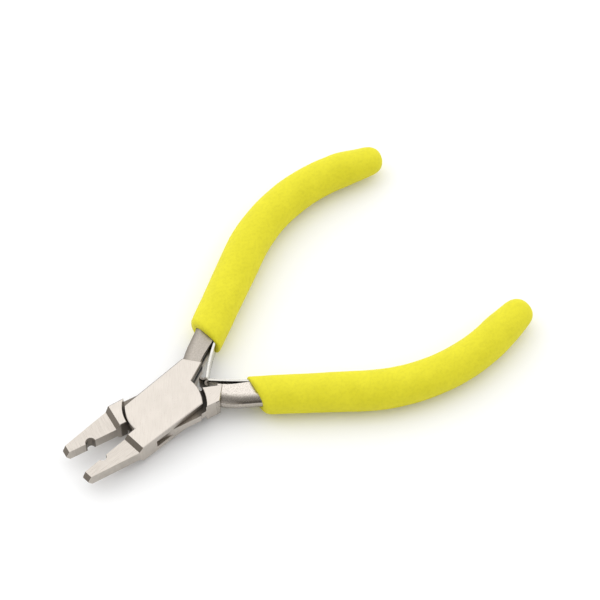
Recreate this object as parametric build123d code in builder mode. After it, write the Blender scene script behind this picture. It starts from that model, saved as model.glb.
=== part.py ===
from build123d import *
from math import cos, radians, sin, sqrt
import os

# Mini crimping pliers with a box joint, two leaf springs and sleeved grips, in millimetres.
#
# +X runs from the joint's pivot to the handles, +Y to the handle of the box half, +Z up.
# The origin is on the pivot, on the lower face of the box joint. The pliers stand open, as
# the springs hold them: each half is turned by half of opening_angle about the pivot.
#
# Each half has its own plan frame: X is its jaw's mating line and Y points to its handle.
# "across" is +1 for the box half and -1 for the tongue half, whose plan is mirrored.

# --- driving dimensions ---------------------------------------------------------------
opening_angle = 15.1        # between the two mating faces, as the springs leave them

# box joint
joint_thickness = 6.4       # over the two ground faces
joint_half_width = 7.15     # from the pivot to a long side
plate_radius = 10.6         # round ends of the box's cheeks, about the pivot
front_shoulder_gap = 0.45   # from the cheeks to the tongue half's round wall in front of them
rear_shoulder_gap = 0.95    # and to the one behind them
tongue_thickness = 2.5
slot_clearance = 0.05       # above and below the tongue
slot_end_clearance = 0.15   # tongue's round ends to the slot's end walls
link_overlap = 1.0          # how far the tongue runs into the blocks at its ends
edge_break = 0.22           # chamfer round the ground faces

# joint rivet
rivet_radius = 2.4
rivet_head_flare = 0.5      # how much wider the countersunk heads are
rivet_head_depth = 0.6
rivet_clearance = 0.04      # running fit in the tongue

# jaws
mating_gap = 0.06           # between the mating faces if they were turned quite parallel
block_length = 2.05         # from the front shoulder to the step's upper edge
step_run = 1.2
jaw_length = 15.3           # from the step's upper edge to the tip bevel's
jaw_thickness = 3.5
box_jaw_base = 6.2          # width at the step
tongue_jaw_base = 6.3
shoulder_taper = 0.2        # tongue half's block is this much narrower at the step than the joint
jaw_tip = 2.1               # width at the tip
tip_bevel = 1.0             # how far the bevelled tip runs on
tip_land = 0.3              # blunt edge left between the two bevels
notch_setback = 6.3         # from the tip bevel's upper edge to the middle of the crimping notch
notch_radius = 1.05
notch_sink = 0.35           # countersink on the tongue jaw's notch

# blocks behind the joint, in a half's own plan
box_rear_reach = 13.7       # outer corner of the box half's block
box_inner_corner = (16.8, 2.6)
tongue_rear_reach = 13.75   # outer corner of the tongue half's block
tongue_rear_inset = 0.65    # and how far it stands inside the joint's long side
tongue_inner_corner = (16.9, 2.2)
crotch_height = 0.25        # where a half's inner wall starts, off its mating line

# handles in plan: a straight run, a bend and a short straight end
box_run = (14.17, 4.67, 24.9, 41.0)     # where the straight run starts, its angle and its length
tongue_run = (14.78, 3.42, 26.9, 39.2)
bend_radius = 52.0
end_angle = 20.0            # how far the bend turns the handle back in past the mating line
end_straight = 13.2

# steel bar inside the handle: distance along it, width, thickness
neck_root = (0.0, 4.9, 5.7)
neck_mouth = (10.5, 6.3, 4.9)
tang_seat = (19.0, 6.4, 4.7)    # the spring is seated here
tang_bend = (48.0, 5.6, 4.4)
tang_end_width = 4.2
tang_end_thickness = 3.8
tang_end_gap = 5.0          # steel stops short of the sleeve's closed end
bar_back_flat = 0.4         # left between the two roundings of the bar's outer side
bar_corner = 0.4            # rounding of its inner edges
section_pitch = 8.0         # greatest spacing of the sections along a handle

# sleeves: distance along the handle, width, thickness
grip_mouth = 23.9           # plan X of the slanted mouth
grip_root = (2.0, 10.5, 9.5)
grip_front = (20.0, 11.0, 9.9)
grip_swell = (41.0, 11.5, 10.2)
grip_waist = (62.0, 11.0, 10.0)
grip_rear = (80.0, 10.5, 9.5)
grip_end_width = 9.4
grip_end_thickness = 8.2
grip_end_spare = 0.4        # the closed end's rounding is this much under the oval's sharpest curve
grip_clearance = 0.05       # sleeve to steel

# leaf springs
spring_thickness = 0.7
spring_width = 4.6
seat_sink = 0.2             # the seat is milled this deep in the bar's inner side
seat_half_length = 4.0
seat_run_out = 8.0          # the flat runs on past the seat, towards the joint
spring_tip_gap = 2.65       # from the rear shoulder to the rolled noses, along the pliers' axis
nose_radius = 0.95          # middle line of the rolled nose
nose_turn = 150.0
nose_gap = 0.06             # between the two noses
spring_room = 0.55          # the sleeve's pocket stands this far off the seated spring
spring_end_room = 0.5       # and this far off its end
blade_room = 0.2            # and this far off the free blade where it leaves the mouth

# spring rivets
spring_rivet_radius = 0.8
spring_rivet_head = 1.4
spring_rivet_head_height = 0.4
spring_rivet_depth = 3.0    # into the steel

# --- values that follow ---------------------------------------------------------------
middle = joint_thickness / 2
half_opening = opening_angle / 2
front_shoulder_radius = plate_radius + front_shoulder_gap
rear_shoulder_radius = plate_radius + rear_shoulder_gap
step_reach = front_shoulder_radius + block_length
jaw_reach = step_reach + jaw_length
notch_reach = jaw_reach - notch_setback
shoulder_width = joint_half_width - shoulder_taper
tongue_rear_width = joint_half_width - tongue_rear_inset
rivet_head_radius = rivet_radius + rivet_head_flare
spring_seat = tang_seat[0]
seat_depth = tang_seat[1] / 2 - seat_sink
spring_tip_reach = rear_shoulder_radius + spring_tip_gap
grip_end_round = grip_end_thickness**2 / (2 * grip_end_width) - grip_end_spare
jaw_top = middle + jaw_thickness / 2
box_plan = Plane.XY.rotated((0, 0, half_opening))
tongue_plan = Plane.XY.rotated((0, 0, -half_opening))
mating = -mating_gap / 2
slot_height = tongue_thickness + 2 * slot_clearance


def on_circle(radius, y):
    """How far along X a circle about the pivot is at height y."""
    return sqrt(radius**2 - y**2)


def side_view(plan):
    """Upright plane through the pivot, with the half's X and the pliers' Z."""
    return Plane(origin=(0, 0, 0), x_dir=plan.x_dir, z_dir=-plan.y_dir)


def side_profile():
    """Half of a half's side view: from the sleeve's mouth over the joint to the middle of the tip."""
    return [
        (grip_mouth, joint_thickness),
        (-step_reach, joint_thickness),
        (-step_reach - step_run, jaw_top),
        (-jaw_reach, jaw_top),
        (-jaw_reach - tip_bevel, middle + tip_land / 2),
    ]


def jaw_side_sketch(plan):
    """A half seen from the side: the ground faces, the steps, the jaw and its bevelled tip."""
    upper = side_profile()
    lower = [(x, joint_thickness - z) for x, z in reversed(upper)]
    with BuildSketch(side_view(plan)) as sketch:
        with BuildLine():
            Polyline(*upper, *lower, close=True)
        make_face()
    return sketch.sketch


def handle_line(plan, across):
    """Middle line of a handle, from inside the joint to the sleeve's closed end."""
    x, y, angle, straight = box_run if across > 0 else tongue_run
    with BuildLine(plan.offset(middle)) as line:
        run = PolarLine((x, across * y), straight, across * angle)
        bend = JernArc(run @ 1, run % 1, bend_radius, -across * (angle + end_angle))
        PolarLine(bend @ 1, end_straight, direction=bend % 1)
    return line.wire()


def station(line, distance):
    """Plane square to the handle at a distance along it, with its X across the handle."""
    point = line.position_at(distance, position_mode=PositionMode.LENGTH)
    ahead = line.tangent_at(distance, position_mode=PositionMode.LENGTH)
    return Plane(origin=point, x_dir=Vector(0, 0, 1).cross(ahead), z_dir=ahead)


def filled_in(stations, pitch):
    """The named stations with evenly spaced ones between them, in straight proportion."""
    filled = []
    for (start, *near), (end, *far) in zip(stations, stations[1:]):
        count = max(1, round((end - start) / pitch))
        for step in range(count):
            share = step / count
            sizes = [a + (b - a) * share for a, b in zip(near, far)]
            filled.append((start + (end - start) * share, *sizes))
    return filled + [stations[-1]]


def bar_sections(line, across, spare=0.0):
    """Sections of the steel bar, flat inside and rounded outside, or of the room that it needs."""
    end = (line.length - tang_end_gap, tang_end_width, tang_end_thickness)
    stations = [neck_root, neck_mouth, tang_seat, tang_bend, end]
    sections = []
    for distance, width, thickness in filled_in(stations, section_pitch):
        with BuildSketch(station(line, distance)) as section:
            Rectangle(width + 2 * spare, thickness + 2 * spare)
            corners = vertices().group_by(Axis.X)
            inner, outer = corners if across > 0 else reversed(corners)
            fillet(outer, (thickness - bar_back_flat) / 2 + spare)
            fillet(inner, bar_corner + spare)
        sections.append(section.sketch)
    return sections


def grip_sections(line):
    """Oval sections of a sleeve, up to its closed end."""
    end = (line.length, grip_end_width, grip_end_thickness)
    stations = [grip_root, grip_front, grip_swell, grip_waist, grip_rear, end]
    sections = []
    for distance, width, thickness in filled_in(stations, section_pitch):
        with BuildSketch(station(line, distance)) as section:
            Ellipse(width / 2, thickness / 2)
        sections.append(section.sketch)
    return sections


def seat_plane(line, across, depth=0.0):
    """Plane of the spring's seat: X ahead along the handle, Z out of the steel, towards the other half."""
    here = station(line, spring_seat)
    inward = here.x_dir * -across
    origin = here.origin + inward * (seat_depth + depth)
    return Plane(origin=origin, x_dir=here.z_dir, z_dir=inward)


def spring_sketch(plan, across, spare=0.0):
    """A leaf spring's edge in plan, or the room that it needs: seat, free blade and rolled nose."""
    seat = seat_plane(handle_line(plan, across), across, spring_thickness / 2)
    end = plan.to_local_coords(seat.from_local_coords((seat_half_length, 0, 0)))
    root = plan.to_local_coords(seat.from_local_coords((-seat_half_length, 0, 0)))
    run = (root - end).normalized()
    # The blade is an arc that leaves the seat in line with it and meets the nose's circle from
    # outside. It is worked out for the box half, and "across" mirrors it for the tongue half.
    nose_y = nose_gap / 2 + spring_thickness / 2 + nose_radius
    turn = radians(-half_opening)
    centre = Vector(
        spring_tip_reach * cos(turn) - nose_y * sin(turn),
        spring_tip_reach * sin(turn) + nose_y * cos(turn),
    )
    start = Vector(root.X, across * root.Y)
    left = Vector(-across * run.Y, run.X)
    away = start - centre
    blade_radius = (away.length**2 - nose_radius**2) / (2 * (nose_radius - left.dot(away)))
    hub = start + left * blade_radius
    meet = hub + (centre - hub) * (blade_radius / (blade_radius + nose_radius))
    with BuildSketch(plan.offset(middle)) as sketch:
        with BuildLine():
            Line((end.X, end.Y), (root.X, root.Y))
            blade = TangentArc((root.X, root.Y), (meet.X, across * meet.Y), tangent=(run.X, run.Y))
            JernArc(blade @ 1, blade % 1, nose_radius, -across * nose_turn)
        trace(line_width=spring_thickness + 2 * spare)
    return sketch.sketch


# --- box half: lower jaw, the two cheeks with the slot between them, upper handle -----------
box_handle = handle_line(box_plan, 1)
with BuildPart() as box_half:
    with BuildSketch(box_plan):
        with BuildLine():
            front = on_circle(plate_radius, joint_half_width)
            crotch = on_circle(plate_radius, crotch_height)
            RadiusArc((-front, joint_half_width), (-on_circle(plate_radius, mating), mating), -plate_radius)
            Polyline(
                (-on_circle(plate_radius, mating), mating),
                (-jaw_reach - tip_bevel, mating),
                (-jaw_reach - tip_bevel, mating - jaw_tip),
                (-step_reach, -box_jaw_base),
                (front, -joint_half_width),
            )
            RadiusArc((front, -joint_half_width), (crotch, crotch_height), -plate_radius)
            Polyline(
                (crotch, crotch_height),
                box_inner_corner,
                (box_rear_reach, joint_half_width),
                (-front, joint_half_width),
            )
        make_face()
    extrude(amount=joint_thickness)
    chamfer(edges().group_by(Axis.Z)[0], edge_break)
    chamfer(edges().group_by(Axis.Z)[-1], edge_break)
    extrude(jaw_side_sketch(box_plan), amount=2 * joint_half_width, both=True, mode=Mode.INTERSECT)
    loft(sections=bar_sections(box_handle, 1))
    with BuildSketch(box_plan.offset(middle - slot_height / 2)):
        Circle(plate_radius)
    extrude(amount=slot_height, mode=Mode.SUBTRACT)
    with BuildSketch(box_plan):
        Circle(rivet_radius)
        with Locations((-notch_reach, 0)):
            Circle(notch_radius)
    extrude(amount=joint_thickness, mode=Mode.SUBTRACT)
    for face_height, upward in ((0, 1), (joint_thickness, -1)):
        with Locations(Plane(origin=(0, 0, face_height), z_dir=(0, 0, upward))):
            Cone(
                rivet_head_radius,
                rivet_radius,
                rivet_head_depth,
                align=(Align.CENTER, Align.CENTER, Align.MIN),
                mode=Mode.SUBTRACT,
            )
    with BuildSketch(seat_plane(box_handle, 1)):
        with Locations((-seat_run_out / 2, 0)):
            Rectangle(2 * seat_half_length + seat_run_out, joint_thickness)
    extrude(amount=seat_depth, mode=Mode.SUBTRACT)
    with BuildSketch(seat_plane(box_handle, 1)):
        Circle(spring_rivet_radius)
    extrude(amount=-spring_rivet_depth, mode=Mode.SUBTRACT)

# --- tongue half: upper jaw, the tongue that passes through the box, lower handle ------------
tongue_handle = handle_line(tongue_plan, -1)
with BuildPart() as tongue_half:
    with BuildSketch(tongue_plan):
        with BuildLine():
            shoulder = -joint_half_width
            wall = -on_circle(front_shoulder_radius, mating)
            corner = -on_circle(front_shoulder_radius, shoulder)
            RadiusArc((wall, -mating), (corner, -shoulder), front_shoulder_radius)
            Polyline(
                (corner, -shoulder),
                (-step_reach, shoulder_width),
                (-step_reach - step_run, tongue_jaw_base),
                (-jaw_reach - tip_bevel, jaw_tip - mating),
                (-jaw_reach - tip_bevel, -mating),
                (wall, -mating),
            )
        make_face()
    extrude(amount=joint_thickness)
    with BuildSketch(tongue_plan):
        with BuildLine():
            inner = on_circle(rear_shoulder_radius, crotch_height)
            outer = on_circle(rear_shoulder_radius, tongue_rear_width)
            RadiusArc((inner, -crotch_height), (outer, -tongue_rear_width), rear_shoulder_radius)
            Polyline(
                (outer, -tongue_rear_width),
                (tongue_rear_reach, -tongue_rear_width),
                (tongue_inner_corner[0], -tongue_inner_corner[1]),
                (inner, -crotch_height),
            )
        make_face()
    extrude(amount=joint_thickness)
    chamfer(edges().group_by(Axis.Z)[0], edge_break)
    chamfer(edges().group_by(Axis.Z)[-1], edge_break)
    extrude(jaw_side_sketch(tongue_plan), amount=2 * joint_half_width, both=True, mode=Mode.INTERSECT)
    with BuildSketch(tongue_plan.offset(middle - tongue_thickness / 2)):
        Circle(plate_radius - slot_end_clearance)
        Rectangle(2 * plate_radius, 2 * joint_half_width, mode=Mode.INTERSECT)
        with BuildLine():
            Polyline(
                (0, -mating),
                (wall - link_overlap, -mating),
                (wall - link_overlap, shoulder_width),
                (corner, joint_half_width),
                (0, joint_half_width),
                close=True,
            )
        make_face()
        with BuildLine():
            Polyline(
                (0, mating),
                (inner - slot_end_clearance, mating),
                (inner + link_overlap, -crotch_height - link_overlap),
                (outer + link_overlap, -tongue_rear_width),
                (0, -joint_half_width),
                close=True,
            )
        make_face()
    extrude(amount=tongue_thickness)
    loft(sections=bar_sections(tongue_handle, -1))
    with BuildSketch(tongue_plan):
        Circle(rivet_radius + rivet_clearance)
        with Locations((-notch_reach, 0)):
            Circle(notch_radius)
    extrude(amount=joint_thickness, mode=Mode.SUBTRACT)
    sink_place = tongue_plan.from_local_coords((-notch_reach, 0, jaw_top))
    with Locations(Plane(origin=sink_place, z_dir=(0, 0, -1))):
        Cone(
            notch_radius + notch_sink,
            notch_radius,
            notch_sink,
            align=(Align.CENTER, Align.CENTER, Align.MIN),
            mode=Mode.SUBTRACT,
        )
    with BuildSketch(seat_plane(tongue_handle, -1)):
        with Locations((-seat_run_out / 2, 0)):
            Rectangle(2 * seat_half_length + seat_run_out, joint_thickness)
    extrude(amount=seat_depth, mode=Mode.SUBTRACT)
    with BuildSketch(seat_plane(tongue_handle, -1)):
        Circle(spring_rivet_radius)
    extrude(amount=-spring_rivet_depth, mode=Mode.SUBTRACT)

# --- joint rivet: a pin pressed in the cheeks, its two heads ground flush ---------------------
with BuildPart() as joint_rivet:
    with BuildSketch(Plane.XZ):
        with BuildLine():
            Polyline(
                (0, 0),
                (rivet_head_radius, 0),
                (rivet_radius, rivet_head_depth),
                (rivet_radius, joint_thickness - rivet_head_depth),
                (rivet_head_radius, joint_thickness),
                (0, joint_thickness),
                close=True,
            )
        make_face()
    revolve(axis=Axis.Z)

pieces = {"box_half": box_half, "tongue_half": tongue_half, "joint_rivet": joint_rivet}

# --- a spring, its rivet and a sleeve for each half --------------------------------------------
for half, plan, across in (("box", box_plan, 1), ("tongue", tongue_plan, -1)):
    handle = handle_line(plan, across)
    on_spring = seat_plane(handle, across, spring_thickness)

    with BuildPart() as leaf_spring:
        extrude(spring_sketch(plan, across), amount=spring_width / 2, both=True)
        with BuildSketch(on_spring):
            Circle(spring_rivet_radius)
        extrude(amount=-spring_thickness, mode=Mode.SUBTRACT)

    with BuildPart() as spring_rivet:
        with BuildSketch(on_spring):
            Circle(spring_rivet_radius)
        extrude(amount=-spring_thickness - spring_rivet_depth)
        with BuildSketch(on_spring):
            Circle(spring_rivet_head)
        extrude(amount=spring_rivet_head_height)
        fillet(edges().filter_by(GeomType.CIRCLE).sort_by(SortBy.RADIUS)[-1], spring_rivet_head_height / 2)

    with BuildPart() as grip:
        loft(sections=grip_sections(handle))
        fillet(faces().sort_by(Axis(handle @ 1, handle % 1))[-1].edges(), grip_end_round)
        mouth = Plane(origin=plan.from_local_coords((grip_mouth, 0, 0)), z_dir=plan.x_dir)
        split(bisect_by=mouth, keep=Keep.TOP)
        loft(sections=bar_sections(handle, across, grip_clearance), mode=Mode.SUBTRACT)
        pocket_end = seat_half_length + spring_end_room
        with BuildSketch(seat_plane(handle, across, -seat_depth)):
            with Locations(((pocket_end - spring_seat) / 2, 0)):
                Rectangle(pocket_end + spring_seat, spring_width + 2 * grip_clearance)
        extrude(amount=seat_depth + spring_thickness + spring_room, mode=Mode.SUBTRACT)
        blade_height = spring_width / 2 + grip_clearance
        extrude(spring_sketch(plan, across, blade_room), amount=blade_height, both=True, mode=Mode.SUBTRACT)

    pieces[half + "_leaf_spring"] = leaf_spring
    pieces[half + "_spring_rivet"] = spring_rivet
    pieces[half + "_grip"] = grip

os.makedirs("parts", exist_ok=True)
for name, piece in pieces.items():
    piece.part.label = name
    export_step(piece.part, f"parts/{name}.step")
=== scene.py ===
import bmesh
import bpy
from math import asin, atan2, cos, pi, radians, sin, sqrt
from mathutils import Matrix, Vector, noise


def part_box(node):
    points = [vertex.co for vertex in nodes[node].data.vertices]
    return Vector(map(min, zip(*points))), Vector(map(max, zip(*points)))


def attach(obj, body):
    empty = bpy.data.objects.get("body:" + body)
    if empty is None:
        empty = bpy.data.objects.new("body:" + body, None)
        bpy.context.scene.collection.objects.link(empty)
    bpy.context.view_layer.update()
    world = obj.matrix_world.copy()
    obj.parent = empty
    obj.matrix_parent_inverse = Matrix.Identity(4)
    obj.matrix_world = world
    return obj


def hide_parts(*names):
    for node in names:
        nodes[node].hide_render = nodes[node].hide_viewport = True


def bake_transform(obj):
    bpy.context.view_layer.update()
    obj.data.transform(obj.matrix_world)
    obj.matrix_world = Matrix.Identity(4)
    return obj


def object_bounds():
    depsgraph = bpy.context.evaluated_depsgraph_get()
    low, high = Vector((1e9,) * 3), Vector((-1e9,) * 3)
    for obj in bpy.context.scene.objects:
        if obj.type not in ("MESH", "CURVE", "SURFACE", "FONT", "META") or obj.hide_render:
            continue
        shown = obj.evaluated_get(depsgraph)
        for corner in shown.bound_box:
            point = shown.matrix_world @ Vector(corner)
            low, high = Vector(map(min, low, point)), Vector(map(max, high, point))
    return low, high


# Mini crimping pliers. The steel halves and rivets are the CAD nodes with new materials.
# The sleeves and the leaf springs are built here as finer meshes in the CAD nodes' places.
# Lengths below are in millimetres, in a half's own plan: X along its mating line towards the
# handle, Y towards its handle. "across" is +1 for the box half and -1 for the tongue half.

MM = 0.001
HALF_OPENING = radians(7.55)

# handle lines: start of the straight run, its angle and its length, for the box and tongue half
RUNS = {1: (14.17, 4.67, radians(24.9), 41.0), -1: (14.78, 3.42, radians(26.9), 39.2)}
BEND_RADIUS = 52.0
END_ANGLE = radians(20.0)
END_STRAIGHT = 13.2

# sleeves: distance along the handle line, width, thickness
GRIP_MOUTH = 23.9
GRIP_SIZES = (
    (2.0, 10.5, 9.5), (20.0, 11.0, 9.9), (41.0, 11.5, 10.2),
    (62.0, 11.0, 10.0), (80.0, 10.5, 9.5), (94.9, 9.4, 8.2),
)
GRIP_END_ROUND = 4.2
END_EASE = {1: (0.17, 0.0), -1: (0.02, 0.10)}    # how much slimmer the end is outside and inside
END_EASE_START, END_EASE_STOP = 13.0, 3.0        # distances from the end
END_BLUNTNESS = 0.85        # below 1 the end is flatter than a half ellipse
GRIP_OVAL = 2.05            # power of the sleeves' section: 2 is an ellipse, more is squarer
MOUTH_HALF_SIZE = (5.3, 4.8)
MOUTH_ROUND = 1.3           # soft outer edge of the mouth
BORE_RIM = 10.0             # where along the handle the mouth's inner rim takes its shape
BORE_GAP = 0.07
BORE_OUTER_OVAL, BORE_INNER_OVAL = 2.3, 7.0
BAR_SIZES = ((0.0, 4.9, 5.7), (10.5, 6.3, 4.9), (19.0, 6.4, 4.7), (48.0, 5.6, 4.4))

# rings of a sleeve's mesh: depths inside the mouth, shares of the wall from the rim outwards, and
# how many follow on the body and on the end, which stops just short of its pole
AROUND = 72
BORE_RINGS = (7.0, 3.0, 1.0, 0.25, 0.06)
WALL_RINGS = (0.06, 0.2, 0.4, 0.6, 0.72, 0.82, 0.9, 0.955, 0.99, 1.0)
BODY_RINGS = 90
END_RINGS, END_POLE = 9, 9.3
LUMPS = ((0.28, 0.05), (0.9, 0.018))    # noise on the sleeves: rate per millimetre and height
LUMP_INSET = 0.036

YELLOW_DEEP = (0.675, 0.621, 0.020)
YELLOW_LIGHT = (0.726, 0.669, 0.028)
YELLOW_GRAIN = (0.33, 0.29, 0.012)

# leaf springs
SPRING_THICKNESS = 0.7
SPRING_WIDTH = 4.6
SPRING_CORNER = 0.16
SPRING_SEAT = 19.0
SEAT_DEPTH = 3.0
SEAT_HALF_LENGTH = 4.0
SPRING_TIP_REACH = 14.2
NOSE_RADIUS = 0.95
NOSE_TURN = radians(150.0)
NOSE_GAP = 0.06
SEAT_STEPS, BEND_STEPS, NOSE_STEPS, CORNER_STEPS = 8, 32, 24, 3
BLEND_ROOT = (28.2, 6.2)    # plan point at a blade's seat; it is worked out below, but nothing uses it

# the studio: a white tent, dimmer on the near side of the pliers, and the photo's camera
SKY_NEAR, SKY_FAR = 0.72, 1.46
SKY_ACROSS = (0.605, 0.796)             # plan direction from the near side to the far side
CAMERA_AZIMUTH, CAMERA_ELEVATION = radians(-37.25), radians(56.0)
CAMERA_AIM = (0.05101, 0.00644, 0.0032)
CAMERA_DISTANCE, CAMERA_FIELD = 0.700, 0.16667
CAMERA_SENSOR = 36.0

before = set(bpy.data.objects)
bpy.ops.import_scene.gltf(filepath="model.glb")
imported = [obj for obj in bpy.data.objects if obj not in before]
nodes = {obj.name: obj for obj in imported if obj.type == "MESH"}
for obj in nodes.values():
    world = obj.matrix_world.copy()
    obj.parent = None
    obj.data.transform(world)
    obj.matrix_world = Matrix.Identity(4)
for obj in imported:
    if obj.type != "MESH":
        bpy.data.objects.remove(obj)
cad_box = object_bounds()
MIDDLE = (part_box("box_half")[0].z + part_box("box_half")[1].z) / 2 / MM
FLOOR = cad_box[0].z


# --- plan geometry ------------------------------------------------------------------------
def row(across, x, y, z=0.0):
    """A point of a half's plan, in millimetres, in the row frame, in metres."""
    y *= across
    turn = across * HALF_OPENING
    return Vector((x * cos(turn) - y * sin(turn), x * sin(turn) + y * cos(turn), z)) * MM


def handle_at(across, distance):
    """(x, y, heading) on a handle's middle line, carried on straight past both ends."""
    x, y, heading, straight = RUNS[across]
    run = min(distance, straight)
    x, y = x + run * cos(heading), y + run * sin(heading)
    turn = min(max((distance - straight) / BEND_RADIUS, 0.0), heading + END_ANGLE)
    x += BEND_RADIUS * (sin(heading) - sin(heading - turn))
    y += BEND_RADIUS * (cos(heading - turn) - cos(heading))
    run = max(distance - straight - BEND_RADIUS * (heading + END_ANGLE), 0.0)
    heading -= turn
    return x + run * cos(heading), y + run * sin(heading), heading


def handle_length(across):
    _, _, heading, straight = RUNS[across]
    return straight + BEND_RADIUS * (heading + END_ANGLE) + END_STRAIGHT


def smooth(share):
    return share * share * (3 - 2 * share)


def between(sizes, distance):
    """Width and thickness at a distance, eased between the listed stations."""
    if distance <= sizes[0][0]:
        return sizes[0][1:]
    for near, far in zip(sizes, sizes[1:]):
        if distance <= far[0]:
            share = smooth((distance - near[0]) / (far[0] - near[0]))
            return tuple(a + (b - a) * share for a, b in zip(near[1:], far[1:]))
    return sizes[-1][1:]


# --- mesh helpers ----------------------------------------------------------------------------
def piece(name, bm):
    mesh = bpy.data.meshes.new(name)
    bmesh.ops.recalc_face_normals(bm, faces=bm.faces)
    bm.to_mesh(mesh)
    bm.free()
    for face in mesh.polygons:
        face.use_smooth = True
    obj = bpy.data.objects.new(name, mesh)
    bpy.context.scene.collection.objects.link(obj)
    return obj


def skin(bm, rings, close_start=False, close_end=False):
    """Quads between rings of points, and a fan on an end that is closed."""
    made = [[bm.verts.new(p) for p in ring] for ring in rings]
    count = len(made[0])
    for near, far in zip(made, made[1:]):
        for i in range(count):
            j = (i + 1) % count
            bm.faces.new((near[i], near[j], far[j], far[i]))
    for closed, ring in ((close_start, made[0]), (close_end, made[-1])):
        if closed:
            middle = bm.verts.new(sum((v.co for v in ring), Vector()) / count)
            for i in range(count):
                bm.faces.new((ring[i], ring[(i + 1) % count], middle))


def subdivide(obj, levels):
    modifier = obj.modifiers.new("subdivision", "SUBSURF")
    modifier.levels = modifier.render_levels = levels


# --- sleeves -----------------------------------------------------------------------------------
def mouth_at(across, side):
    """Where a line beside the handle meets the slanting mouth. side is positive on the outer side."""
    x, _, heading, _ = RUNS[across]
    return (GRIP_MOUTH - x + side * sin(heading)) / cos(heading)


def beside(across, distance, side, up):
    """Plan point beside the handle line and above its middle plane."""
    x, y, heading = handle_at(across, distance)
    return x - side * sin(heading), y + side * cos(heading), MIDDLE + up


def oval(angle, half_side, half_up, shape):
    c, s = cos(angle), sin(angle)
    side = half_side * abs(c) ** (2 / shape) * (1 if c >= 0 else -1)
    return side, half_up * abs(s) ** (2 / shape) * (1 if s >= 0 else -1)


def bore(angle, distance):
    """The hole of a sleeve: round outside like the steel, and square inside for it and the spring."""
    half_side, half_up = between(BAR_SIZES, distance)
    half_side, half_up = half_side / 2 + BORE_GAP, half_up / 2 + BORE_GAP
    if cos(angle) >= 0:
        return oval(angle, half_side, half_up, BORE_OUTER_OVAL)
    return oval(angle, SEAT_DEPTH + SPRING_THICKNESS + BORE_GAP, half_up, BORE_INNER_OVAL)


def body(angle, distance, share=1.0):
    """A sleeve's outside at a distance, or a share of it."""
    width, thickness = between(GRIP_SIZES, distance)
    return oval(angle, width / 2 * share, thickness / 2 * share, GRIP_OVAL)


def eased(across, distance, side, up):
    """A point of a sleeve's outside, drawn in near the end on one side and on top."""
    from_end = handle_length(across) - distance
    share = smooth(min(max((END_EASE_START - from_end) / (END_EASE_START - END_EASE_STOP), 0.0), 1.0))
    outside, inside = END_EASE[across]
    side *= 1 - share * (outside if side > 0 else inside)
    if up > 0:
        up *= 1 - share * max(outside, inside)
    return side, up


def make_grip(name, across):
    """A sleeve: hole round the neck, thick slanting mouth with a soft edge, long oval body, blunt end."""
    angles = [2 * pi * (i + 0.5) / AROUND for i in range(AROUND)]
    length = handle_length(across)
    shoulder = length - GRIP_END_ROUND
    grip = []
    for angle in angles:
        inner = bore(angle, BORE_RIM)
        outer = body(angle, mouth_at(across, oval(angle, *MOUTH_HALF_SIZE, GRIP_OVAL)[0]))
        wall = Vector(outer) - Vector(inner)
        soft = min(MOUTH_ROUND, wall.length * 0.75)
        line = []
        first = mouth_at(across, inner[0])
        for depth in BORE_RINGS:
            line.append((first + depth, *bore(angle, first + depth)))
        for share in WALL_RINGS:
            side, up = Vector(inner) + wall * share
            past = max(0.0, share * wall.length - (wall.length - soft))
            line.append((mouth_at(across, side) + soft - sqrt(soft * soft - past * past), side, up))
        start = line[-1][0]
        for step in range(1, BODY_RINGS + 1):
            distance = start + (shoulder - start) * step / BODY_RINGS
            line.append((distance, *eased(across, distance, *body(angle, distance))))
        for step in range(1, END_RINGS + 1):
            turn = pi / 2 * step / END_POLE
            distance = shoulder + GRIP_END_ROUND * sin(turn)
            point = body(angle, length, cos(turn) ** END_BLUNTNESS)
            line.append((distance, *eased(across, distance, *point)))
        grip.append([row(across, *beside(across, *point)) for point in line])
    bm = bmesh.new()
    skin(bm, [list(ring) for ring in zip(*grip)], close_end=True)
    bmesh.ops.recalc_face_normals(bm, faces=bm.faces)
    bm.normal_update()
    for vert in bm.verts:
        lumps = sum(noise.noise(vert.co / MM * rate) * height for rate, height in LUMPS)
        vert.co += vert.normal * (lumps - LUMP_INSET) * MM
    obj = piece(name, bm)
    subdivide(obj, 1)
    return obj


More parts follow.
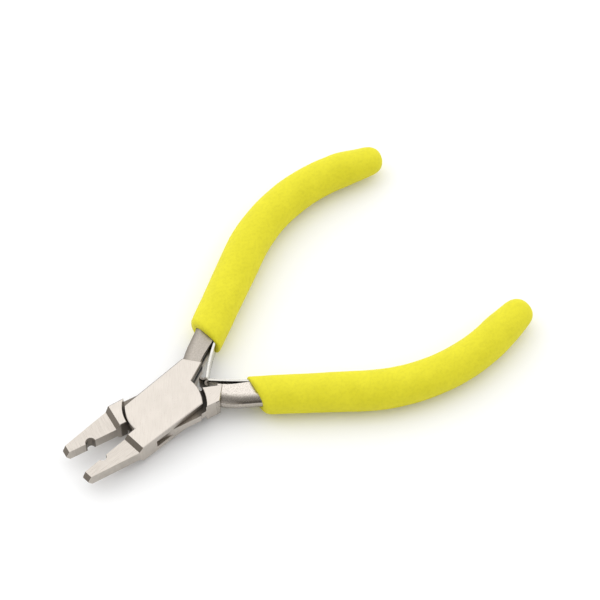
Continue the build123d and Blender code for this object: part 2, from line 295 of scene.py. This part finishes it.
# --- leaf springs -----------------------------------------------------------------------------
def spring_line(across):
    """Plan points and headings along a leaf spring, from its seat to its rolled nose."""
    x, y, heading = handle_at(across, SPRING_SEAT)
    depth = SEAT_DEPTH + SPRING_THICKNESS / 2
    seat = Vector((x + depth * sin(heading), y - depth * cos(heading)))
    ahead = Vector((-cos(heading), -sin(heading)))
    end = seat - ahead * SEAT_HALF_LENGTH
    root = seat + ahead * SEAT_HALF_LENGTH
    nose_y = NOSE_GAP / 2 + SPRING_THICKNESS / 2 + NOSE_RADIUS
    c, s = cos(-HALF_OPENING), sin(-HALF_OPENING)
    centre = Vector((SPRING_TIP_REACH * c - nose_y * s, SPRING_TIP_REACH * s + nose_y * c))
    left = Vector((-ahead.y, ahead.x))
    away = root - centre
    radius = (away.length_squared - NOSE_RADIUS**2) / (2 * (NOSE_RADIUS - left.dot(away)))
    hub = root + left * radius
    meet = hub + (centre - hub) * (radius / (radius + NOSE_RADIUS))
    first = atan2(ahead.y, ahead.x)
    swing = 2 * asin((meet - root).length / 2 / radius)
    points = [(end + (root - end) * i / SEAT_STEPS, first) for i in range(SEAT_STEPS)]
    for i in range(BEND_STEPS + 1):
        turn = swing * i / BEND_STEPS
        at = root + left * radius * (1 - cos(turn)) + ahead * radius * sin(turn)
        points.append((at, first + turn))
    heading = first + swing
    start = points[-1][0]
    right = Vector((sin(heading), -cos(heading)))
    along = Vector((cos(heading), sin(heading)))
    for i in range(1, NOSE_STEPS + 1):
        turn = NOSE_TURN * i / NOSE_STEPS
        at = start + right * NOSE_RADIUS * (1 - cos(turn)) + along * NOSE_RADIUS * sin(turn)
        points.append((at, heading - turn))
    return points


def make_spring(name, across):
    """A flat strip with softly rounded edges."""
    flat_t, flat_w = SPRING_THICKNESS / 2 - SPRING_CORNER, SPRING_WIDTH / 2 - SPRING_CORNER
    outline = []
    for sx, sz, first in ((1, 1, 0), (-1, 1, 1), (-1, -1, 2), (1, -1, 3)):
        for step in range(CORNER_STEPS + 1):
            angle = pi / 2 * (first + step / CORNER_STEPS)
            off, up = SPRING_CORNER * cos(angle), SPRING_CORNER * sin(angle)
            outline.append((sx * flat_t + off, sz * flat_w + up))
    rings = []
    for at, heading in spring_line(across):
        normal = Vector((-sin(heading), cos(heading)))
        rings.append([row(across, *(at + normal * off), MIDDLE + z) for off, z in outline])
    bm = bmesh.new()
    skin(bm, rings, close_start=True, close_end=True)
    return piece(name, bm)


# --- materials ------------------------------------------------------------------------------------
def new_material(name):
    material = bpy.data.materials.new(name)
    material.use_nodes = True
    tree = material.node_tree
    tree.nodes.clear()
    output = tree.nodes.new("ShaderNodeOutputMaterial")
    shader = tree.nodes.new("ShaderNodeBsdfPrincipled")
    tree.links.new(shader.outputs["BSDF"], output.inputs["Surface"])
    return material, tree, shader


def add(tree, kind, inputs=None, **settings):
    """A node with its settings, and its inputs set to values or joined to other nodes' sockets."""
    node = tree.nodes.new(kind)
    for key, value in settings.items():
        setattr(node, key, value)
    for key, value in (inputs or {}).items():
        if isinstance(value, bpy.types.NodeSocket):
            tree.links.new(value, node.inputs[key])
        else:
            node.inputs[key].default_value = value
    return node


def ramp(tree, value, stops):
    node = add(tree, "ShaderNodeValToRGB", {"Fac": value})
    elements = node.color_ramp.elements
    while len(elements) < len(stops):
        elements.new(0.5)
    for element, (at, colour) in zip(elements, stops):
        element.position = at
        element.color = (*colour, 1.0) if isinstance(colour, tuple) else (colour, colour, colour, 1.0)
    return node.outputs["Color"]


def paint(obj, material):
    obj.data.materials.clear()
    obj.data.materials.append(material)


def math(tree, operation, a, b=0.0):
    return add(tree, "ShaderNodeMath", {0: a, 1: b}, operation=operation).outputs[0]


def times(tree, product, *factors):
    for factor in factors:
        product = math(tree, "MULTIPLY", product, factor)
    return product


def plan_length(tree, x, y):
    flat = add(tree, "ShaderNodeCombineXYZ", {"X": x, "Y": y}).outputs[0]
    return add(tree, "ShaderNodeVectorMath", {0: flat}, operation="LENGTH").outputs["Value"]


def blend_in(tree, value, low, high, to_low=0.0, to_high=1.0):
    """A number eased from to_low to to_high as the value goes from low to high."""
    inputs = {"Value": value, "From Min": low, "From Max": high, "To Min": to_low, "To Max": to_high}
    return add(tree, "ShaderNodeMapRange", inputs, interpolation_type="SMOOTHSTEP").outputs["Result"]


def mix(tree, share, a, b):
    return add(tree, "ShaderNodeMix", {"Factor": share, "A": a, "B": b}).outputs[0]


def speckle(tree, where, scale, detail, roughness=0.5):
    inputs = {"Vector": where, "Scale": scale, "Detail": detail, "Roughness": roughness}
    return add(tree, "ShaderNodeTexNoise", inputs).outputs["Fac"]


def strokes(tree, where, angle, length, width):
    """Noise drawn out along a direction in plan, in metres."""
    inputs = {"Vector": where, "Rotation": (0, 0, angle), "Scale": (length, width, STROKE_HEIGHT)}
    turned = add(tree, "ShaderNodeMapping", inputs, vector_type="TEXTURE").outputs[0]
    return speckle(tree, turned, 1.0, 4.0, 0.6)


def finish_surface(tree, shader, colour, rough, height, strength, distance):
    bump = add(tree, "ShaderNodeBump", {"Height": height, "Strength": strength, "Distance": distance})
    tree.links.new(colour, shader.inputs["Base Color"])
    tree.links.new(rough, shader.inputs["Roughness"])
    tree.links.new(bump.outputs["Normal"], shader.inputs["Normal"])


# Steel. A "tone" runs from 0, darkest, to 1, bright. The tones were set against the photo, and
# some of them are painted reflections and painted shade, standing in for the light the real steel reflects
# there: they are not measured colours.
STEEL_SHADES = (
    (0.0, (0.0, 0.0, 0.0)), (0.2, (0.156, 0.135, 0.112)), (0.5, (0.385, 0.350, 0.309)),
    (0.8, (0.622, 0.573, 0.519)), (1.0, (0.777, 0.715, 0.648)),
)
# tones of a neck over how level its surface lies, from its side at 0 to its top at 1: on the blasted neck a
# duller finish with painted shade on its sides, on the brushed neck painted reflections with a dark stripe
# along its rounded edge
BLASTED_NECK_AND_SHADE = ((0.0, 0.30), (0.55, 0.30), (0.85, 0.40), (0.97, 0.47), (1.0, 0.55))
BRUSHED_NECK_REFLECTIONS = (
    (0.0, 0.62), (0.28, 0.62), (0.36, 0.11), (0.52, 0.11), (0.66, 0.27), (0.92, 0.40),
    (0.985, 0.62), (1.0, 0.83),
)
# painted reflections and painted shade on the walls between the handles: light and dark bands over their
# height
INNER_WALL_PAINTED_BANDS = (
    (0.0, 0.80), (0.34, 0.80), (0.40, 0.36), (0.44, 0.36), (0.47, 0.01), (0.70, 0.01),
    (0.73, 0.70), (0.76, 0.70), (0.80, 0.30), (1.0, 0.30),
)
# side walls and mating faces are a little darker than tops: partly a duller finish, partly painted shade
SIDE_TONE, TOP_TONE, JAW_SHARE = 0.70, 0.765, 0.92
# painted dark reflections on the jaws' facets and bevels, painted shade in the notch, and the lightest tone
# of the neck's painted shade near its root
PAINTED_FACET_REFLECTION, PAINTED_BEVEL_REFLECTION, PAINTED_NOTCH_SHADE, NECK_ROOT_TONE = 0.21, 0.03, 0.22, 0.34
PLATE_ANGLE, BLOCK_ANGLE = radians(53), radians(16)      # of the strokes
PLATE_GRAIN_DEPTH, JAW_GRAIN_DEPTH, NECK_GRAIN_DEPTH = 0.055, 0.085, 0.14
NOTCH_REACH = 22.1          # from the pivot to the notch's middle
# reach of the painted shade in crevices
SHADOW_REACH = 0.0013       # in metres, as are the textures' sizes below
STROKE_HEIGHT = 0.002

SPRING_SHADES = ((0.12, (0.13, 0.11, 0.09)), (0.3, (0.54, 0.52, 0.48)), (0.6, (0.66, 0.645, 0.61)))


def half_axes(tree, where, across):
    """Place in a half's own plan, in millimetres, and the way the surface faces there."""
    turn = (0, 0, across * HALF_OPENING)
    own = add(tree, "ShaderNodeMapping", {"Vector": where, "Rotation": turn, "Scale": (MM, MM, MM)},
              vector_type="TEXTURE").outputs[0]
    facing = add(tree, "ShaderNodeTexCoord").outputs["Normal"]
    facing = add(tree, "ShaderNodeMapping", {"Vector": facing, "Rotation": turn},
                 vector_type="TEXTURE").outputs[0]
    return [add(tree, "ShaderNodeSeparateXYZ", {"Vector": value}).outputs for value in (own, facing)]


def facet_mask(tree, place, facing, upright):
    """1 on a jaw's step and tip bevels, which face along it and get a painted dark reflection."""
    along = math(tree, "ABSOLUTE", facing["X"])
    return times(tree, blend_in(tree, along, 0.45, 0.65), blend_in(tree, place["X"], -12.9, -13.0),
                 blend_in(tree, upright, 0.9, 0.75))


def bevel_mask(tree, place, facing, upright):
    """1 on the sloping long edges that face +Y, forward of the necks, which get a painted dark reflection."""
    return times(tree, blend_in(tree, upright, 0.60, 0.66), blend_in(tree, upright, 0.82, 0.76),
                 blend_in(tree, facing["Y"], 0.2, 0.4), blend_in(tree, place["X"], 14.0, 13.5))


def notch_mask(tree, place, upright):
    """1 on the wall of a jaw's half-round notch, which gets painted shade."""
    away = plan_length(tree, math(tree, "ADD", place["X"], NOTCH_REACH), place["Y"])
    return times(tree, blend_in(tree, away, 1.5, 1.4), blend_in(tree, upright, 0.9, 0.8))


def inner_wall_mask(tree, place, facing, across):
    """1 on the wall that faces the other handle, behind the joint."""
    outwards = times(tree, facing["Y"], across)
    return times(tree, blend_in(tree, outwards, -0.45, -0.55), blend_in(tree, place["X"], 10.2, 10.4))


def tongue_mask(tree, place, flat, off_middle, low):
    """1 on the tongue half's recesses for the cheeks, and on its tongue, which get painted shade."""
    away = plan_length(tree, place["X"], place["Y"])
    recess = times(tree, blend_in(tree, away, 13.2, 12.6), low,
                   blend_in(tree, math(tree, "ABSOLUTE", place["Y"]), 6.45, 6.25))
    tongue = times(tree, blend_in(tree, off_middle, 1.30, 1.27), blend_in(tree, away, 11.6, 11.3),
                   math(tree, "MAXIMUM", flat, blend_in(tree, place["X"], -1.2, -3.2)))
    return math(tree, "MAXIMUM", recess, tongue)


def steel_grain(tree, where, place, across, in_jaw, in_neck, jaw_angle):
    """Fine strokes, in their own direction on the plate, jaw and tongue half's block, and a speckled neck."""
    plate_grain = strokes(tree, where, PLATE_ANGLE, 0.0035, 0.00017)
    grain = mix(tree, in_jaw, plate_grain, strokes(tree, where, jaw_angle, 0.0030, 0.00022))
    if across < 0:
        in_block = blend_in(tree, place["X"], 11.0, 11.4)
        grain = mix(tree, in_block, grain, strokes(tree, where, BLOCK_ANGLE, 0.0030, 0.00025))
    return mix(tree, in_neck, grain, speckle(tree, where, 2600.0, 3.0))


def forged_steel(name, across, jaw_angle, neck_tones, neck_rough):
    """Ground faces with fine strokes, side walls a little darker (duller finish and painted shade), painted
    dark reflections on bevels, painted shade in recesses, blasted or brushed neck with painted shade and
    reflections.
    """
    material, tree, shader = new_material(name)
    where = add(tree, "ShaderNodeTexCoord").outputs["Object"]
    place, facing = half_axes(tree, where, across)
    upright = math(tree, "ABSOLUTE", facing["Z"])
    off_middle = math(tree, "ABSOLUTE", math(tree, "SUBTRACT", place["Z"], MIDDLE))

    in_jaw = blend_in(tree, place["X"], -14.0, -14.3)
    low = blend_in(tree, off_middle, 3.17, 3.12)
    in_neck = times(tree, blend_in(tree, place["X"], 12.5, 12.7), low)
    flat = blend_in(tree, upright, 0.25, 0.65)
    grain = steel_grain(tree, where, place, across, in_jaw, in_neck, jaw_angle)

    # side walls darker than tops: a duller finish and painted shade
    tone = mix(tree, flat, SIDE_TONE, TOP_TONE)
    tone = mix(tree, in_jaw, tone, times(tree, tone, JAW_SHARE))
    # painted shade and painted reflections on the neck by how level it lies, kept no darker than
    # NECK_ROOT_TONE up to 16 mm along and easing off by 22 mm
    neck_root = blend_in(tree, place["X"], 16.0, 22.0, NECK_ROOT_TONE, 0.0)
    tone = mix(tree, in_neck, tone, math(tree, "MAXIMUM", ramp(tree, upright, neck_tones), neck_root))
    # painted dark reflections on the facets and sloping edges
    tone = mix(tree, facet_mask(tree, place, facing, upright), tone, PAINTED_FACET_REFLECTION)
    tone = mix(tree, bevel_mask(tree, place, facing, upright), tone, PAINTED_BEVEL_REFLECTION)
    # painted shade in the notch
    tone = mix(tree, notch_mask(tree, place, upright), tone, PAINTED_NOTCH_SHADE)
    # painted reflections and painted shade: light and dark bands over the height of the wall that faces the
    # other handle
    painted_wall_bands = ramp(tree, times(tree, place["Z"], 1 / (2 * MIDDLE)), INNER_WALL_PAINTED_BANDS)
    tone = mix(tree, inner_wall_mask(tree, place, facing, across), tone, painted_wall_bands)
    # painted shade on the tongue half inside the box half's slot, darkest from 9 mm along
    if across < 0:
        painted_slot_shade = blend_in(tree, place["X"], 5.0, 9.0, 0.30, 0.10)
        tone = mix(tree, tongue_mask(tree, place, flat, off_middle, low), tone, times(tree, tone, painted_slot_shade))
    # painted shade: the colour is darkened where nearby surfaces close in, in crevices and between parts
    shut_in = add(tree, "ShaderNodeAmbientOcclusion", {"Distance": SHADOW_REACH}, samples=8).outputs["AO"]
    tone = times(tree, tone, blend_in(tree, shut_in, 0.15, 0.70, 0.15, 1.0))
    grain_depth = mix(tree, in_neck, mix(tree, in_jaw, PLATE_GRAIN_DEPTH, JAW_GRAIN_DEPTH), NECK_GRAIN_DEPTH)
    darkest, brightest = math(tree, "SUBTRACT", 1.0, grain_depth), math(tree, "ADD", 1.0, grain_depth)
    tone = times(tree, tone, blend_in(tree, grain, 0.25, 0.75, darkest, brightest))
    tone = times(tree, tone, blend_in(tree, speckle(tree, where, 220.0, 4.0), 0.3, 0.7, 0.975, 1.02))

    rough = mix(tree, in_neck, mix(tree, flat, 0.34, 0.30), neck_rough)
    rough = math(tree, "ADD", rough, blend_in(tree, grain, 0.25, 0.75, -0.04, 0.05))
    finish_surface(tree, shader, ramp(tree, tone, STEEL_SHADES), rough, grain, 0.35, 0.000012)
    tree.links.new(blend_in(tree, tone, 0.02, 0.20), shader.inputs["Metallic"])
    shader.inputs["Specular IOR Level"].default_value = 0.1
    return material


def polished_steel():
    """Spring strip and rivets: bright, with faint strokes along X, and painted shade on the rolled noses."""
    material, tree, shader = new_material("spring_steel")
    where = add(tree, "ShaderNodeTexCoord").outputs["Object"]
    along = add(tree, "ShaderNodeSeparateXYZ", {"Vector": where}).outputs["X"]
    grain = strokes(tree, where, 0.0, 0.004, 0.0002)
    tone = mix(tree, 0.4, grain, speckle(tree, where, 500.0, 3.0))
    # painted shade: darker below about 14.5 mm along X, on the rolled noses
    tone = times(tree, tone, blend_in(tree, along, 0.0143, 0.0150, 0.25, 1.0))
    rough = blend_in(tree, tone, 0.3, 0.7, 0.16, 0.26)
    finish_surface(tree, shader, ramp(tree, tone, SPRING_SHADES), rough, grain, 0.15, 0.00001)
    shader.inputs["Metallic"].default_value = 1.0
    return material


def grip_material():
    """Soft dipped foam: matte yellow with a fine leathery grain, faint mottling and a few pits."""
    material, tree, shader = new_material("grip_yellow")
    where = add(tree, "ShaderNodeTexCoord").outputs["Object"]
    cloud = speckle(tree, where, 190.0, 5.0, 0.6)
    skin_grain = speckle(tree, where, 1100.0, 4.0, 0.62)
    pits = add(tree, "ShaderNodeTexVoronoi", {"Vector": where, "Scale": 260.0, "Randomness": 1.0})
    pit = blend_in(tree, pits.outputs["Distance"], 0.055, 0.13)
    inputs = {
        "Factor": blend_in(tree, skin_grain, 0.3, 0.6, 0.13, 0.0),
        "A": ramp(tree, cloud, ((0.32, YELLOW_DEEP), (0.68, YELLOW_LIGHT))),
        "B": (*YELLOW_GRAIN, 1.0),
    }
    colour = add(tree, "ShaderNodeMix", inputs, data_type="RGBA").outputs["Result"]
    rough = blend_in(tree, cloud, 0.3, 0.7, 0.56, 0.68)
    height = math(tree, "ADD", times(tree, skin_grain, 0.6), times(tree, pit, 0.35))
    finish_surface(tree, shader, colour, rough, height, 0.5, 0.00012)
    shader.inputs["Specular IOR Level"].default_value = 0.2
    return material


# --- stage -------------------------------------------------------------------------------------------
def make_floor():
    bm = bmesh.new()
    bmesh.ops.create_grid(bm, x_segments=1, y_segments=1, size=1.2)
    floor = piece("floor", bm)
    floor.location = (0.05, 0.0, FLOOR)
    material, tree, shader = new_material("floor_paper")
    shader.inputs["Base Color"].default_value = (0.92, 0.92, 0.92, 1)
    shader.inputs["Roughness"].default_value = 0.9
    shader.inputs["Specular IOR Level"].default_value = 0.1
    paint(floor, material)


def make_world():
    world = bpy.data.worlds.new("studio")
    bpy.context.scene.world = world
    world.use_nodes = True
    tree = world.node_tree
    tree.nodes.clear()
    where = add(tree, "ShaderNodeTexCoord").outputs["Generated"]
    axes = add(tree, "ShaderNodeSeparateXYZ", {"Vector": where}).outputs
    beyond = math(tree, "ADD", times(tree, axes["X"], SKY_ACROSS[0]), times(tree, axes["Y"], SKY_ACROSS[1]))
    strength = blend_in(tree, beyond, -0.75, 0.35, SKY_NEAR, SKY_FAR)
    background = add(tree, "ShaderNodeBackground", {"Strength": strength, "Color": (1.0, 1.0, 1.0, 1)})
    output = add(tree, "ShaderNodeOutputWorld")
    tree.links.new(background.outputs[0], output.inputs["Surface"])


def make_light(name, place, size, power):
    """A round soft light over the pliers, aimed at their middle."""
    data = bpy.data.lights.new(name, "AREA")
    data.shape, data.size, data.energy = "DISK", size, power
    light = bpy.data.objects.new(name, data)
    bpy.context.scene.collection.objects.link(light)
    light.location = place
    light.rotation_mode = "QUATERNION"
    light.rotation_quaternion = (Vector((0.05, 0, 0)) - Vector(place)).to_track_quat("-Z", "Y")


def make_camera():
    level = cos(CAMERA_ELEVATION)
    back = Vector((sin(CAMERA_AZIMUTH) * level, -cos(CAMERA_AZIMUTH) * level, sin(CAMERA_ELEVATION)))
    data = bpy.data.cameras.new("camera")
    data.sensor_width = CAMERA_SENSOR
    data.lens = CAMERA_SENSOR * CAMERA_DISTANCE / CAMERA_FIELD
    data.clip_start, data.clip_end = 0.01, 10.0
    camera = bpy.data.objects.new("camera", data)
    bpy.context.scene.collection.objects.link(camera)
    camera.location = Vector(CAMERA_AIM) + back * CAMERA_DISTANCE
    camera.rotation_mode = "QUATERNION"
    camera.rotation_quaternion = (-back).to_track_quat("-Z", "Y")
    bpy.context.scene.camera = camera


# --- the pliers -----------------------------------------------------------------------------------------
box_steel = forged_steel("box_steel", 1, radians(5), BLASTED_NECK_AND_SHADE, neck_rough=0.48)
tongue_steel = forged_steel("tongue_steel", -1, radians(79), BRUSHED_NECK_REFLECTIONS, neck_rough=0.25)
spring_steel = polished_steel()
yellow = grip_material()

paint(nodes["box_half"], box_steel)
paint(nodes["joint_rivet"], box_steel)
paint(nodes["tongue_half"], tongue_steel)
paint(nodes["box_spring_rivet"], spring_steel)
paint(nodes["tongue_spring_rivet"], spring_steel)

for half, across in (("box", 1), ("tongue", -1)):
    grip = make_grip(half + "_sleeve", across)
    paint(grip, yellow)
    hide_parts(half + "_grip")
    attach(grip, half + "_side")

    spring = make_spring(half + "_spring_blade", across)
    paint(spring, spring_steel)
    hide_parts(half + "_leaf_spring")
    root = row(across, *BLEND_ROOT, MIDDLE)
    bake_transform(spring)

make_floor()
make_world()
make_light("overhead", place=(-0.35, 0.55, 0.65), size=0.80, power=0.8)
make_camera()
bpy.context.scene.view_settings.view_transform = "Standard"
